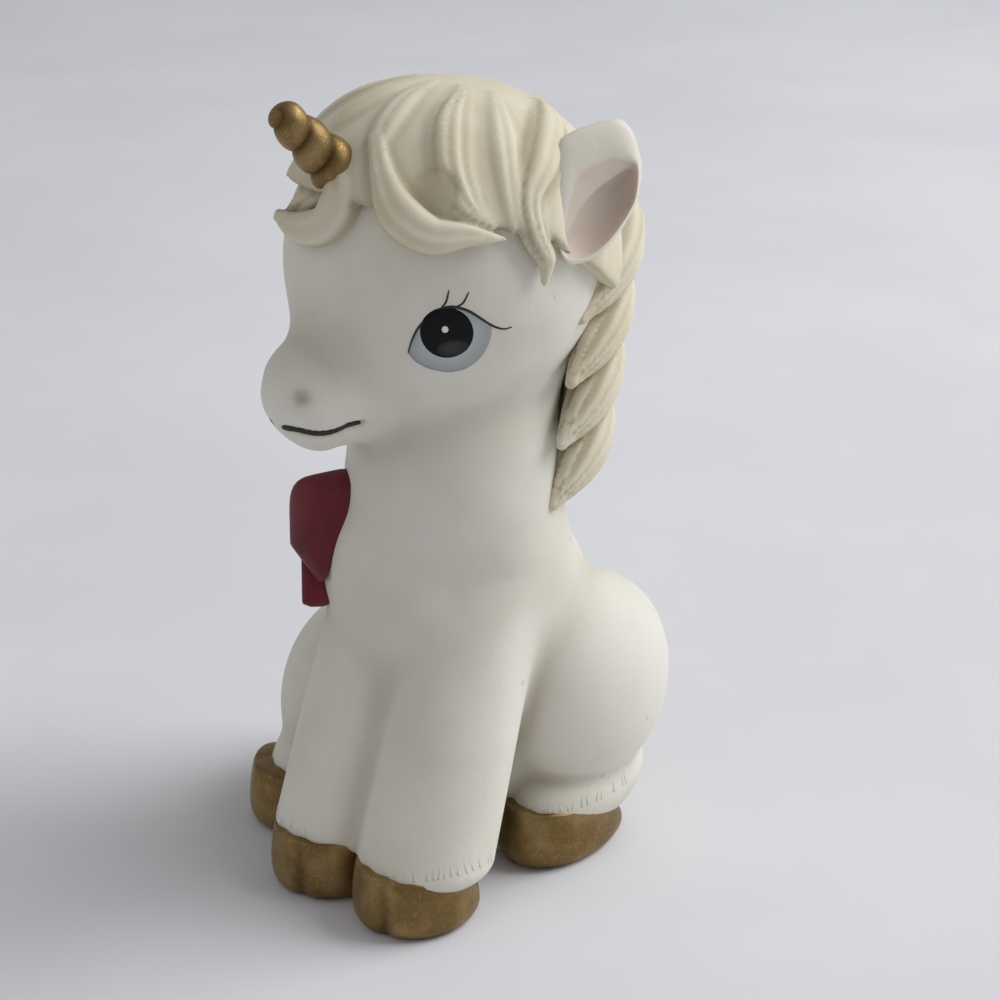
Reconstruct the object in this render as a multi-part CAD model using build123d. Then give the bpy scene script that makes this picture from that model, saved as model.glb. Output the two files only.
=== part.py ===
from build123d import *
import os
from math import cos, pi, radians, sin

# A seated unicorn foal in bisque porcelain. Millimetres; it faces -Y, its left is +X and it stands on Z = 0.
# The origin is the middle of the seat.

# Body casting: level oval sections from the seat to the top of the neck
SEAT_RX, SEAT_RY = 13.5, 12.0
HIP_RX, HIP_RY, HIP_Y, HIP_Z = 16.2, 14.4, 0.0, 16.0
CHEST_RX, CHEST_RY, CHEST_Y, CHEST_Z = 15.0, 14.4, -7.2, 44.0
NECK_RX, NECK_RY, NECK_Y, NECK_Z = 13.0, 13.2, -6.3, 66.0
WALL = 3.0
DRAIN_R, DRAIN_Y = 3.0, 5.5
THROAT_R = 5.0

# Head casting, turned to the animal's right about an upright axis through the neck
HEAD_TURN = 22.0
HEAD_X, HEAD_Y = -1.0, -9.0
SKULL_RX, SKULL_RY, SKULL_RZ = 19.8, 20.5, 20.0
SKULL_RISE = 16.0
SKULL_BACK = 1.0
NOSE_REACH, NOSE_DROP, NOSE_R = 19.5, 13.2, 7.6
MUZZLE_ROOT_R = 14.0
CHIN_REACH, CHIN_DROP, CHIN_R = 18.5, 17.3, 3.9

# Forelegs and fore hooves
SHOULDER_X, SHOULDER_Y, SHOULDER_Z, SHOULDER_R = 7.5, -11.0, 43.0, 8.5
KNEE_R = 8.4
FETLOCK_R = 7.5
FORE_HOOF_R, FORE_HOOF_TOE, FORE_HOOF_H = 8.0, 8.8, 8.0
LEFT_FORE_X, LEFT_FORE_Y = 6.5, -29.0
RIGHT_FORE_X, RIGHT_FORE_Y = -8.2, -25.5
CLEFT_WIDTH, CLEFT_DEPTH = 1.4, 2.4

# Haunches, hind feet and hind hooves
HAUNCH_RX, HAUNCH_RY, HAUNCH_RZ = 10.5, 15.0, 17.0
HAUNCH_X, HAUNCH_Y, HAUNCH_Z = 14.3, 2.5, 19.8
HIND_HOOF_R, HIND_HOOF_TOE, HIND_HOOF_H = 7.2, 11.5, 8.0
LEFT_HIND_X, LEFT_HIND_Y = 13.2, -3.4
RIGHT_HIND_X, RIGHT_HIND_Y = -21.8, -10.4
FOOT_RISE, FOOT_BACK = 8.0, 9.0
HOOF_SOLE = 0.86

# Ears
EAR_LENGTH, EAR_WIDTH, EAR_DEPTH = 19.0, 12.0, 9.5
EAR_LEAN, EAR_SWEEP = 42.0, 18.0
EAR_OUT, EAR_BACK, EAR_UP = 18.8, 6.5, 10.0
EAR_RIM = 1.3

# Horn: one coil wound to a blunt tip
HORN_LENGTH, HORN_ROOT_R, HORN_TIP_R = 10.8, 3.1, 1.8
HORN_TURNS, HORN_SWAY, HORN_STEPS = 2.8, 0.2, 22
HORN_SINK = 0.3
HORN_LEAN, HORN_ANGLE = 40.0, 39.0

# Hair: cap over the skull, curl under the horn, locks at the brow and temples, locks down the nape
HAIR_LIFT = 2.4
HAIRLINE_Z, HAIRLINE_SLOPE = 9.0, 20.0
CURL_WIDTH, CURL_THICK = 3.9, 3.4
CURL_PATH = [(10, 41), (9, 15), (-36, 12)]
LOCK_SINK = 0.4
FRINGE_WIDTH, FRINGE_THICK = 3.8, 3.0
FRINGE_PATH = [(18, 56), (33, 5), (74, 19)]
TEMPLE_WIDTH, TEMPLE_THICK = 2.6, 2.2
TEMPLE_PATH = [(98, 45), (80, 24), (87, 0)]
MANE_COUNT = 4
MANE_TOP_Z, MANE_PITCH, MANE_FALL = 91.6, 8.4, 16.0
MANE_START, MANE_END = 205.0, 115.0
MANE_WIDTH, MANE_THICK = 6.0, 4.4
MANE_TOP_STAND, MANE_LOW_STAND = 1.6, 5.3

# Ribbon bow at the throat, with its own facing
BOW_Z, BOW_TURN, BOW_STAND = 49.5, 58.0, 3.2
LOOP_LENGTH, LOOP_HEIGHT, LOOP_DEPTH = 6.8, 10.5, 9.2
LOOP_WRAP, LOOP_DROOP = 4.0, 1.5
KNOT_R, KNOT_HEIGHT, KNOT_PROUD = 2.4, 6.5, 0.4
RIBBON_LENGTH, RIBBON_WIDTH, RIBBON_DEPTH = 13.0, 4.6, 3.8
RIBBON_SPLAY, RIBBON_SET = 12.0, 0.3

# Tail, laid against the rump
TAIL_R, TAIL_LENGTH, TAIL_CURVE = 5.0, 26.0, 12.0

SKULL_Z = NECK_Z + SKULL_RISE
HEAD = Pos(HEAD_X, HEAD_Y, SKULL_Z) * Rot(0, 0, -HEAD_TURN)
SIDES = {"left": 1, "right": -1}


def ellipsoid(rx, ry, rz):
    """A ball with three half widths, about the origin."""
    return scale(Sphere(1), by=(rx, ry, rz))


def above_ground(shape):
    """The shape with everything below the standing surface cut away."""
    size = 4 * SKULL_Z
    return shape & Pos(0, 0, size / 2) * Box(size, size, size)


def biggest(shape):
    """The main solid of a cut piece, without the splinters beyond what it is cut by."""
    return max(shape.solids(), key=lambda s: s.volume)


def cut(shape, *others):
    """The shape seated against the pieces that carry it."""
    for other in others:
        shape = shape - other
    return biggest(shape)


def lock(path, width, thick, steps=5, blunt=0.25, start=0.6):
    """A tapering strand of hair: oval sections along path(t), which gives a point and its outward normal."""
    sections = []
    for i in range(steps + 1):
        t = i / steps
        point, out = path(t)
        ahead, _ = path(min(t + 0.02, 1.0))
        behind, _ = path(max(t - 0.02, 0.0))
        tangent = ahead - behind
        swell = max(start + (1 - start) * sin(min(t / 0.4, 1) * pi / 2), 0) * (1 - (1 - blunt) * max(t - 0.4, 0) / 0.6)
        plane = Plane(origin=point, x_dir=out - tangent * (out.dot(tangent) / tangent.dot(tangent)), z_dir=tangent)
        sections.append(plane * Ellipse(thick * swell, width * swell))
    return loft(sections)


def skull_point(around, up, lift=0.0):
    """A point over the skull and its outward direction; around is from the nose to the left, both in degrees."""
    a, e = radians(around), radians(up)
    out = Vector(cos(e) * sin(a), -cos(e) * cos(a), sin(e))
    grown = Vector((SKULL_RX + lift) * out.X, SKULL_BACK + (SKULL_RY + lift) * out.Y, (SKULL_RZ + lift) * out.Z)
    return grown, out


def skull_path(start, middle, end, lift):
    """A path over the skull through three directions, each an angle around and an angle up."""

    def at(t):
        blend = [(1 - t) ** 2 * a + 2 * t * (1 - t) * b + t * t * c for a, b, c in zip(start, middle, end)]
        return skull_point(blend[0], blend[1], lift)

    return at


# Head
skull = Pos(0, SKULL_BACK, 0) * ellipsoid(SKULL_RX, SKULL_RY, SKULL_RZ)


def snout(reach, drop, root_r, tip_r):
    """A round-nosed taper from the middle of the face to a tip in front of and below the skull's centre."""
    root = Vector(0, -SKULL_RY * 0.25, -drop * 0.5)
    tip = Vector(0, -reach, -drop)
    direction = tip - root
    root_face = Plane(origin=root, x_dir=(1, 0, 0), z_dir=direction) * Circle(root_r)
    tip_face = Plane(origin=tip, x_dir=(1, 0, 0), z_dir=direction) * Circle(tip_r)
    return loft([root_face, tip_face]) + Pos(*tip) * Sphere(tip_r)


muzzle = snout(NOSE_REACH, NOSE_DROP, MUZZLE_ROOT_R, NOSE_R)
chin = snout(CHIN_REACH, CHIN_DROP, CHIN_R * 2, CHIN_R)
head_outer = HEAD * (skull + muzzle + chin)
head_hollow = HEAD * Pos(0, SKULL_BACK, 0) * ellipsoid(SKULL_RX - WALL, SKULL_RY - WALL, SKULL_RZ - WALL)
throat = Pos(HEAD_X, NECK_Y, NECK_Z - WALL) * Cylinder(THROAT_R, SKULL_RISE * 2)


# Body
def body_form(inset):
    """The body as one smooth loft, drawn in by the inset on every side."""
    low = Pos(0, 0, inset) * Ellipse(SEAT_RX - inset, SEAT_RY - inset)
    hip = Pos(0, HIP_Y, HIP_Z) * Ellipse(HIP_RX - inset, HIP_RY - inset)
    chest = Pos(0, CHEST_Y, CHEST_Z) * Ellipse(CHEST_RX - inset, CHEST_RY - inset)
    neck = Pos(0, NECK_Y, NECK_Z - inset) * Ellipse(NECK_RX - inset, NECK_RY - inset)
    return loft([low, hip, chest, neck])


body_outer = cut(body_form(0), head_outer)
drain = Pos(0, DRAIN_Y, 0) * Cylinder(DRAIN_R, 4 * WALL)
nodes = {
    "body_casting": cut(body_outer, body_form(WALL), throat, drain),
    "head_casting": cut(head_outer, head_hollow, throat),
}


# Forelegs with their hooves
def hoof(r, toe, height):
    """A hoof standing on the ground: an oval sole, a bulging wall and a cleft in the toe."""
    sole = Ellipse(r * HOOF_SOLE, toe * HOOF_SOLE)
    wall = Pos(0, 0, height * 0.4) * Ellipse(r, toe)
    crown = Pos(0, 0, height) * Ellipse(r * 0.97, toe * 0.9)
    cleft = Pos(0, -toe, height * 0.5) * Rot(0, 0, 45) * Box(CLEFT_WIDTH, CLEFT_WIDTH, height * 2)
    deeper = Pos(0, -toe + CLEFT_DEPTH / 2 - CLEFT_WIDTH / 2, height * 0.5) * Box(
        CLEFT_WIDTH, CLEFT_DEPTH, height * 2
    )
    return loft([sole, wall, crown]) - cleft - deeper


fore_feet = {"left": (LEFT_FORE_X, LEFT_FORE_Y), "right": (RIGHT_FORE_X, RIGHT_FORE_Y)}
forelegs = {}
for side, sign in SIDES.items():
    x, y = fore_feet[side]
    knee_z = (SHOULDER_Z + FORE_HOOF_H) / 2
    shoulder = Pos(sign * SHOULDER_X, SHOULDER_Y, SHOULDER_Z) * Circle(SHOULDER_R)
    knee = Pos((x + sign * SHOULDER_X) / 2, (y + SHOULDER_Y) / 2, knee_z) * Circle(KNEE_R)
    fetlock = Pos(x, y + (FORE_HOOF_TOE - FETLOCK_R) / 2, FORE_HOOF_H) * Circle(FETLOCK_R)
    leg = loft([fetlock, knee, shoulder])
    forelegs[side] = cut(leg, body_outer, *forelegs.values())
    nodes[f"{side}_foreleg"] = forelegs[side]
    nodes[f"{side}_fore_hoof"] = Pos(x, y, 0) * hoof(FORE_HOOF_R, FORE_HOOF_TOE, FORE_HOOF_H)
nodes["right_fore_hoof"] = cut(nodes["right_fore_hoof"], nodes["left_fore_hoof"], forelegs["left"])
nodes["left_fore_hoof"] = cut(nodes["left_fore_hoof"], forelegs["right"])

# Haunches, hind feet and hind hooves
hind_feet = {"left": (LEFT_HIND_X, LEFT_HIND_Y), "right": (RIGHT_HIND_X, RIGHT_HIND_Y)}
haunches = {}
for side, sign in SIDES.items():
    x, y = hind_feet[side]
    front = [forelegs[side], nodes[f"{side}_fore_hoof"]]
    sole = Pos(x, y, 0) * hoof(HIND_HOOF_R, HIND_HOOF_TOE, HIND_HOOF_H)
    thigh = above_ground(Pos(sign * HAUNCH_X, HAUNCH_Y, HAUNCH_Z) * ellipsoid(HAUNCH_RX, HAUNCH_RY, HAUNCH_RZ))
    crown = Pos(x, y, HIND_HOOF_H) * Ellipse(HIND_HOOF_R * 0.97, HIND_HOOF_TOE * 0.9)
    top = Pos(x - sign, y + FOOT_BACK * 0.4, HIND_HOOF_H + FOOT_RISE * 0.6) * Ellipse(
        HIND_HOOF_R * 0.8, HIND_HOOF_TOE * 0.75
    )
    ankle = Pos(x - 2 * sign, y + FOOT_BACK * 0.8, HIND_HOOF_H + FOOT_RISE) * Ellipse(
        HIND_HOOF_R * 0.45, HIND_HOOF_TOE * 0.45
    )
    foot = loft([crown, top, ankle])
    haunches[side] = cut(thigh, body_outer, sole, foot, *front)
    nodes[f"{side}_haunch"] = haunches[side]
    nodes[f"{side}_hind_foot"] = cut(foot, body_outer, *front)
    nodes[f"{side}_hind_hoof"] = cut(sole, body_outer, *front)

# Cap of hair over the skull, down to a sloping hairline
cap = Pos(0, SKULL_BACK, 0) * ellipsoid(SKULL_RX + HAIR_LIFT, SKULL_RY + HAIR_LIFT, SKULL_RZ + HAIR_LIFT)
reach = 6 * SKULL_RZ
hairline = Pos(0, 0, HAIRLINE_Z) * Rot(-HAIRLINE_SLOPE, 0, 0) * Pos(0, 0, reach / 2) * Box(reach, reach, reach)
crown_hair = cut(HEAD * (cap & hairline), head_outer, body_outer)
nodes["crown_hair"] = crown_hair

# Curl that sweeps round below the horn
curl_path = skull_path(*CURL_PATH, HAIR_LIFT * LOCK_SINK)
forelock = cut(HEAD * lock(curl_path, CURL_WIDTH, CURL_THICK, blunt=0.4), head_outer, crown_hair)
nodes["forelock"] = forelock

# Horn on the forehead
horn_at, horn_out = skull_point(0, HORN_ANGLE, 0)


def coil_radius(t):
    """The horn's radius at a share of its length."""
    return HORN_ROOT_R + (HORN_TIP_R - HORN_ROOT_R) * t


def coil_place(t):
    """The middle of the horn's section, which goes round the axis as the coil winds up."""
    turn = 2 * pi * HORN_TURNS * t
    sway = HORN_SWAY * coil_radius(t)
    return Pos(sway * cos(turn), sway * sin(turn), HORN_LENGTH * t)


horn_lean = Pos(*horn_at) * Rot(HORN_LEAN, 0, 0)
steps = [i / HORN_STEPS * (1 + HORN_SINK) - HORN_SINK for i in range(HORN_STEPS + 1)]
sections = [coil_place(t) * Circle(coil_radius(t)) for t in steps]
for rise, share in ((0.5, 0.88), (0.85, 0.5)):
    sections.append(Pos(0, 0, HORN_TIP_R * rise) * coil_place(1) * Circle(HORN_TIP_R * share))
nodes["horn"] = cut(HEAD * horn_lean * loft(sections), head_outer, crown_hair, forelock)

# Ears: leaves with a cupped front
ears = {}
for side, sign in SIDES.items():
    leaf = ellipsoid(EAR_DEPTH / 2, EAR_WIDTH / 2, EAR_LENGTH / 2)
    cup = Pos(EAR_DEPTH * 0.3, -EAR_RIM * 2, 0) * ellipsoid(
        EAR_DEPTH / 2, EAR_WIDTH / 2 - EAR_RIM, EAR_LENGTH / 2 - EAR_RIM * 2
    )
    lean = Pos(EAR_OUT, EAR_BACK, EAR_UP) * Rot(-EAR_SWEEP, EAR_LEAN, 0)
    ear = lean * (leaf - cup)
    if sign < 0:
        ear = mirror(ear, about=Plane.YZ)
    ears[side] = cut(HEAD * ear, head_outer, crown_hair)
    nodes[f"{side}_ear"] = ears[side]


def on_side(path, sign):
    """The directions of a path on the left of the head, or their mirror image on the right."""
    return [(sign * around, up) for around, up in path]


# Locks at the brow and in front of the ears
for side, sign in SIDES.items():
    fringe_path = skull_path(*on_side(FRINGE_PATH, sign), HAIR_LIFT * LOCK_SINK)
    fringe = cut(
        HEAD * lock(fringe_path, FRINGE_WIDTH, FRINGE_THICK), head_outer, crown_hair, forelock, nodes["horn"]
    )
    temple_path = skull_path(*on_side(TEMPLE_PATH, sign), HAIR_LIFT * LOCK_SINK)
    temple = HEAD * lock(temple_path, TEMPLE_WIDTH, TEMPLE_THICK)
    nodes[f"{side}_fringe_lock"] = fringe
    nodes[f"{side}_temple_lock"] = cut(temple, head_outer, crown_hair, fringe, ears[side])

# Locks of the mane, each lying over the next and sweeping from the nape to the left side
mane = []
for i in range(MANE_COUNT):
    share = i / (MANE_COUNT - 1)
    top = MANE_TOP_Z - SKULL_Z - i * MANE_PITCH
    out_r = (SKULL_RY + MANE_TOP_STAND) * (1 - share) + (NECK_RY + MANE_LOW_STAND) * share

    def nape_path(t):
        """A slanting path round the nape, from high at the back to low on the left."""
        around = radians(MANE_START + (MANE_END - MANE_START) * t)
        out = Vector(sin(around), -cos(around), 0)
        return Vector(out.X * out_r, out.Y * out_r + SKULL_BACK, top - MANE_FALL * t), out

    strand = HEAD * lock(nape_path, MANE_WIDTH, MANE_THICK, steps=4, start=0.4)
    strand = cut(strand, head_outer, body_outer, crown_hair, *ears.values(), *mane)
    mane.append(strand)
    nodes[f"mane_lock_{i + 1}"] = strand

# Bow on the chest
BOW = Pos(0, CHEST_Y, BOW_Z) * Rot(0, 0, -BOW_TURN) * Pos(0, -CHEST_RY - BOW_STAND, 0)
knot = cut(BOW * ellipsoid(KNOT_R, LOOP_DEPTH / 2 + KNOT_PROUD, KNOT_HEIGHT / 2), body_outer)
nodes["bow_knot"] = knot


def loop_section(sign, share, height, depth):
    """An upright oval across a loop of the bow, further back as the loop wraps round the chest."""
    origin = (sign * LOOP_LENGTH * share, LOOP_WRAP * share * share, -LOOP_DROOP * share * share)
    upright = Plane(origin=origin, z_dir=(sign, 0, 0), x_dir=(0, 0, 1))
    return upright * Ellipse(LOOP_HEIGHT * height / 2, LOOP_DEPTH * depth / 2)


def ribbon_end(sign):
    """A ribbon tail that widens downwards from the knot."""
    root = Rectangle(RIBBON_WIDTH / 2, RIBBON_DEPTH)
    end = Pos(0, 0, -RIBBON_LENGTH) * Rectangle(RIBBON_WIDTH, RIBBON_DEPTH)
    return Pos(0, RIBBON_SET, 0) * Rot(0, sign * RIBBON_SPLAY, 0) * loft([root, end])


for side, sign in SIDES.items():
    loop = loft([loop_section(sign, 0, 0.5, 0.8), loop_section(sign, 0.55, 1, 1), loop_section(sign, 1, 0.8, 0.6)])
    nodes[f"bow_{side}_loop"] = cut(BOW * loop, body_outer, knot)
loops = [nodes["bow_left_loop"], nodes["bow_right_loop"]]
tails = BOW * (ribbon_end(1) + ribbon_end(-1))
nodes["bow_tails"] = cut(tails, body_outer, knot, *loops, *forelegs.values())


# Tail
def tail_path(t):
    """A curve down the rump and forward along the ground on the left."""
    rump = HIP_Y + HIP_RY + TAIL_R * (0.3 - 0.4 * t * t)
    return Vector(TAIL_CURVE * t * t, rump, TAIL_LENGTH * (1 - t) + TAIL_R * 0.8), Vector(0, 1, 0)


tail = above_ground(lock(tail_path, TAIL_R, TAIL_R))
nodes["tail"] = cut(tail, body_outer, *haunches.values())

os.makedirs("parts", exist_ok=True)
for name, shape in nodes.items():
    export_step(shape, f"parts/{name}.step")
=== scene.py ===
# %% [markdown]
# # A seated unicorn in bisque porcelain
#
# The real object is a slip-cast ornament about 105 mm tall: matte white clay, a cream wash on the hair, a red
# ribbon, and gilding on the hooves and the horn. The castings flow into each other without a seam, so the white
# body is worked out as one blended field, and the hair, ears, horn, hooves and ribbon are surfaces laid on it.
# Every length below is in millimetres until a mesh is written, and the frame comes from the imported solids.

import bpy
import numpy as np
from mathutils import Matrix, Vector


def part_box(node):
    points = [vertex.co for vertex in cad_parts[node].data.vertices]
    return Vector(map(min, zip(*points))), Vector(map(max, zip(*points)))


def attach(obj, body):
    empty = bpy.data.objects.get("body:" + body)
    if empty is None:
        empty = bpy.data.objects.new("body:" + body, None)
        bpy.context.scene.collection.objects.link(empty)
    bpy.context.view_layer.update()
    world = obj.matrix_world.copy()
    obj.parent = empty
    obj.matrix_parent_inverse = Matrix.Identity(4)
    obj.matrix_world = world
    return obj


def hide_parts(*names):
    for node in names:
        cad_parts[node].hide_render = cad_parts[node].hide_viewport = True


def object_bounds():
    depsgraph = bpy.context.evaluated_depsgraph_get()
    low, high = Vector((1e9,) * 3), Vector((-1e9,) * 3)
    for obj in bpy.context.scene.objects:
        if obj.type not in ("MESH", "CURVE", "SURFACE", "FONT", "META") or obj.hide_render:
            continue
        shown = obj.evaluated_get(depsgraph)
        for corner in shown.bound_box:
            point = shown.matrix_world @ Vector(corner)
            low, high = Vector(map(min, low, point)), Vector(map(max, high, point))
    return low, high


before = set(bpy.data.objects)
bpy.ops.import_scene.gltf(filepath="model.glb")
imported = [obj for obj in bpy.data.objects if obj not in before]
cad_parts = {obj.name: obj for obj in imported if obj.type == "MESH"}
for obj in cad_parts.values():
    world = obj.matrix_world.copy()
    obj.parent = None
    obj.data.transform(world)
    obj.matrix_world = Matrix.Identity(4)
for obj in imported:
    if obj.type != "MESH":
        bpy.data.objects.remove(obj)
cad_box = [[float(c) for c in corner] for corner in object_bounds()]
MM = 0.001
TAU = 2 * np.pi
print("solids box", cad_box)

# %% [markdown]
# ## Where the camera stands
#
# The photograph looks at the animal's left front from a little above. The camera is set up first, because the
# painted lines and the locks of hair are placed by pixels of the photograph: each pixel gives a ray, and the ray
# is followed until it meets the figure. The mesh then sits on the surface from every side.

# %% Camera and rays
AZIMUTH, ELEVATION, DISTANCE = 30.0, 21.0, 330.0
FOCAL_PX, FRAME_PX = 2607.0, 1000.0
AIM = np.array([9.7, -12.5, 52.0])
LOOK = np.array([5.3, -15.0, 52.0])


def camera_axes():
    """The camera's place and its right, up and back axes, looking at AIM from the ring around LOOK."""
    a, e = np.radians(AZIMUTH), np.radians(ELEVATION)
    place = LOOK + DISTANCE * np.array([np.sin(a) * np.cos(e), -np.cos(a) * np.cos(e), np.sin(e)])
    back = (place - AIM) / np.linalg.norm(place - AIM)
    right = np.cross([0, 0, 1], back)
    right /= np.linalg.norm(right)
    return place, right, np.cross(back, right), back


EYE, RIGHT, UP, BACK = camera_axes()
camera_data = bpy.data.cameras.new("camera")
camera_data.sensor_width = 36.0
camera_data.lens = camera_data.sensor_width * FOCAL_PX / FRAME_PX
camera_data.clip_start, camera_data.clip_end = 0.01, 20.0
camera = bpy.data.objects.new("camera", camera_data)
bpy.context.scene.collection.objects.link(camera)
camera.matrix_world = Matrix.Translation(EYE * MM) @ Matrix(np.stack([RIGHT, UP, BACK], 1)).to_4x4()
bpy.context.scene.camera = camera


def rays(pixels):
    """Unit directions from the camera through pixels of the photograph."""
    px = np.atleast_2d(np.asarray(pixels, float))
    side = (px[:, :1] - FRAME_PX / 2) / FOCAL_PX
    rise = (FRAME_PX / 2 - px[:, 1:]) / FOCAL_PX
    d = -BACK + side * RIGHT + rise * UP
    return d / np.linalg.norm(d, axis=1, keepdims=True)


print("camera at", EYE.round(1), "lens", round(camera_data.lens, 1))

# %% [markdown]
# ## The white body as a field
#
# A field gives each point its distance from the surface, below zero inside. Simple forms, such as an ellipsoid
# for the skull and a round cone for a leg, are blended with a soft minimum, so they run together the way wet
# slip does. The head has its own turned frame.

# %% Forms of the field
HEAD_PIVOT = np.array([-1.0, -9.0, 0.0])
HEAD_TURN = np.radians(22.0)
SKULL_AT, SKULL_R = np.array([0.0, 1.0, 82.0]), np.array([19.8, 20.5, 20.0])
TURN = np.array([[np.cos(HEAD_TURN), np.sin(HEAD_TURN), 0], [-np.sin(HEAD_TURN), np.cos(HEAD_TURN), 0], [0, 0, 1]])


def to_head(p):
    """Points of the part's frame in the turned frame of the head."""
    return (p - HEAD_PIVOT) @ TURN


def from_head(q):
    """Points of the head's frame in the part's frame."""
    return q @ TURN.T + HEAD_PIVOT


def mirrored(p):
    """The points on the other side of the head."""
    return from_head(to_head(p) * [-1, 1, 1])


def ellipsoid(p, at, r):
    """Roughly the distance from an ellipsoid: k(k - 1) / g with k the scaled length and g its slope."""
    q = p - np.asarray(at)
    r = np.asarray(r, float)
    k = np.linalg.norm(q / r, axis=1)
    return k * (k - 1) / (np.linalg.norm(q / r**2, axis=1) + 1e-9)


def cone(p, a, b, ra, rb):
    """The distance from a segment, less a radius that goes from ra to rb."""
    a, b = np.asarray(a, float), np.asarray(b, float)
    t = np.clip(((p - a) @ (b - a)) / ((b - a) @ (b - a)), 0, 1)
    return np.linalg.norm(p - a - t[:, None] * (b - a), axis=1) - (ra + t * (rb - ra))


def soft_min(distances, k):
    """A blended union: -k log of the sum of exp(-d / k)."""
    d = np.stack(distances)
    low = d.min(0)
    return low - k * np.log(np.exp((low - d) / k).sum(0))


def carve(f, d, k):
    """The field f with the form d cut out of it, with a soft edge of about k."""
    return -soft_min([-f, d], k)


def node_middle(node):
    """The middle of a solid's box on the ground plane, in millimetres."""
    low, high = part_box(node)
    return (np.array(low) + np.array(high))[:2] / 2 / MM


FORE = {1: node_middle("left_fore_hoof"), -1: node_middle("right_fore_hoof")}
HIND = {1: np.array([13.2, -2.0]), -1: np.array([-21.7, -9.4])}
print("fore hooves", FORE[1].round(1), FORE[-1].round(1))


# %% The blended body
def head_field(p):
    """Skull, muzzle and chin in the turned frame."""
    q = to_head(p)
    muzzle = cone(q, (0, -8, 71), (0, -19.7, 68.0), 8.8, 6.4)
    chin = cone(q, (0, -13, 65.8), (0, -18.7, 64.2), 5.5, 3.8)
    return soft_min([soft_min([ellipsoid(q, SKULL_AT, SKULL_R), muzzle], 2.4), chin], 0.9)


TRUNK_Z = [0.0, 16.0, 44.0, 66.0]
TRUNK = {"rx": [13.5, 16.2, 15.0, 13.0], "ry": [12.0, 14.4, 14.3, 12.7], "y": [0.0, 0.0, -6.8, -5.4]}
TRUNK = {key: np.polyfit(TRUNK_Z, values, 3) for key, values in TRUNK.items()}
NECK_ROUND = 4.0
LEG_TOP, LEG_LOW = 43.0, 8.0
FETLOCK = {1: np.array([0.7, 1.6, 8.8]), -1: np.array([0.0, 1.2, 8.2])}


def trunk(p):
    """Level ovals from the seat to the neck, whose sizes are cubics through four measured sections."""
    z = np.clip(p[:, 2], TRUNK_Z[0], TRUNK_Z[-1])
    rx, ry, y = [np.polyval(TRUNK[key], z) for key in ("rx", "ry", "y")]
    across = (np.hypot(p[:, 0] / rx, (p[:, 1] - y) / ry) - 1) * np.minimum(rx, ry)
    inner = across + NECK_ROUND
    return np.hypot(np.maximum(inner, 0), p[:, 2] - z) + np.minimum(inner, 0) - NECK_ROUND


def foreleg(p, s):
    """Level circles about a line from the shoulder down to the fetlock, a little full at the knee."""
    z = np.clip(p[:, 2], LEG_LOW, LEG_TOP)
    t = ((z - LEG_LOW) / (LEG_TOP - LEG_LOW))[:, None]
    middle = (1 - t) * (FORE[s] + FETLOCK[s][:2]) + t * np.array([0.4 + s * 6.3, -10.8])
    r = FETLOCK[s][2] - 0.2 * t[:, 0] - 2.4 * t[:, 0] ** 4
    rise = (p[:, 2] - z) * np.where(p[:, 2] < z, 2.2, 1.0)
    return np.hypot(np.linalg.norm(p[:, :2] - middle, axis=1), rise) - r


HAUNCH = {1: (14.2, 2.5, 22.3), -1: (-18.5, -0.3, 14.4)}
RUMP = (2.2, 4.2, 34.4)
FOOT = {1: ((14.0, 1.6, 8.2), (7.4, 13.2, 6.4)), -1: ((-20.6, -6.4, 7.2), (6.6, 11.5, 6.5))}
CHEST, BREAST = (-0.6, -15.5, 36.0), (-5.0, -15.2, 41.0)


def body_field(p):
    """Neck, torso and forelegs run together; the haunches and then the feet meet them in sharper creases."""
    chest = [ellipsoid(p, CHEST, (9.5, 8.4, 9.0)), ellipsoid(p, BREAST, (8.8, 8.0, 9.5))]
    front = soft_min([trunk(p), foreleg(p, 1), foreleg(p, -1)] + chest, 1.3)
    front = soft_min([front, ellipsoid(p, RUMP, (9.0, 10.0, 9.0))], 2.0)
    rump = soft_min([front] + [ellipsoid(p, HAUNCH[s], (10.5, 14.9, 14.6)) for s in (1, -1)], 0.9)
    return soft_min([rump] + [ellipsoid(p, *FOOT[s]) for s in (1, -1)], 0.45)


def plain(p):
    """The whole white body before any line is cut in it, flat where it stands."""
    return np.maximum(soft_min([head_field(p), body_field(p)], 1.6), -p[:, 2])


def slope(field, p, step=0.12):
    """The field's gradient by central differences."""
    axes = np.eye(3) * step
    return np.stack([field(p + a) - field(p - a) for a in axes], 1) / (2 * step)


def settle(field, p, rounds=3):
    """The points moved onto the field's zero surface, and their outward normals."""
    for _ in range(rounds):
        g = slope(field, p)
        p = p - (field(p) / (g * g).sum(1).clip(1e-4))[:, None] * g
    g = slope(field, p)
    return p, g / np.linalg.norm(g, axis=1, keepdims=True)


def meet(pixels, lift=0.0, field=None):
    """Where the pixels' rays first come within lift of the figure, or their nearest point to it."""
    d, field = rays(pixels), field or bisque
    t = np.full(len(d), DISTANCE - 90.0)
    best, best_t = np.full(len(d), 1e9), t.copy()
    for _ in range(60):
        s = field(EYE + d * t[:, None]) - lift
        near = s < best
        best[near], best_t[near] = s[near], t[near]
        t = np.where(best > 0.02, t + 0.8 * s, t)
        t = np.minimum(t, DISTANCE + 120)
    return EYE + d * best_t[:, None]


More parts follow.
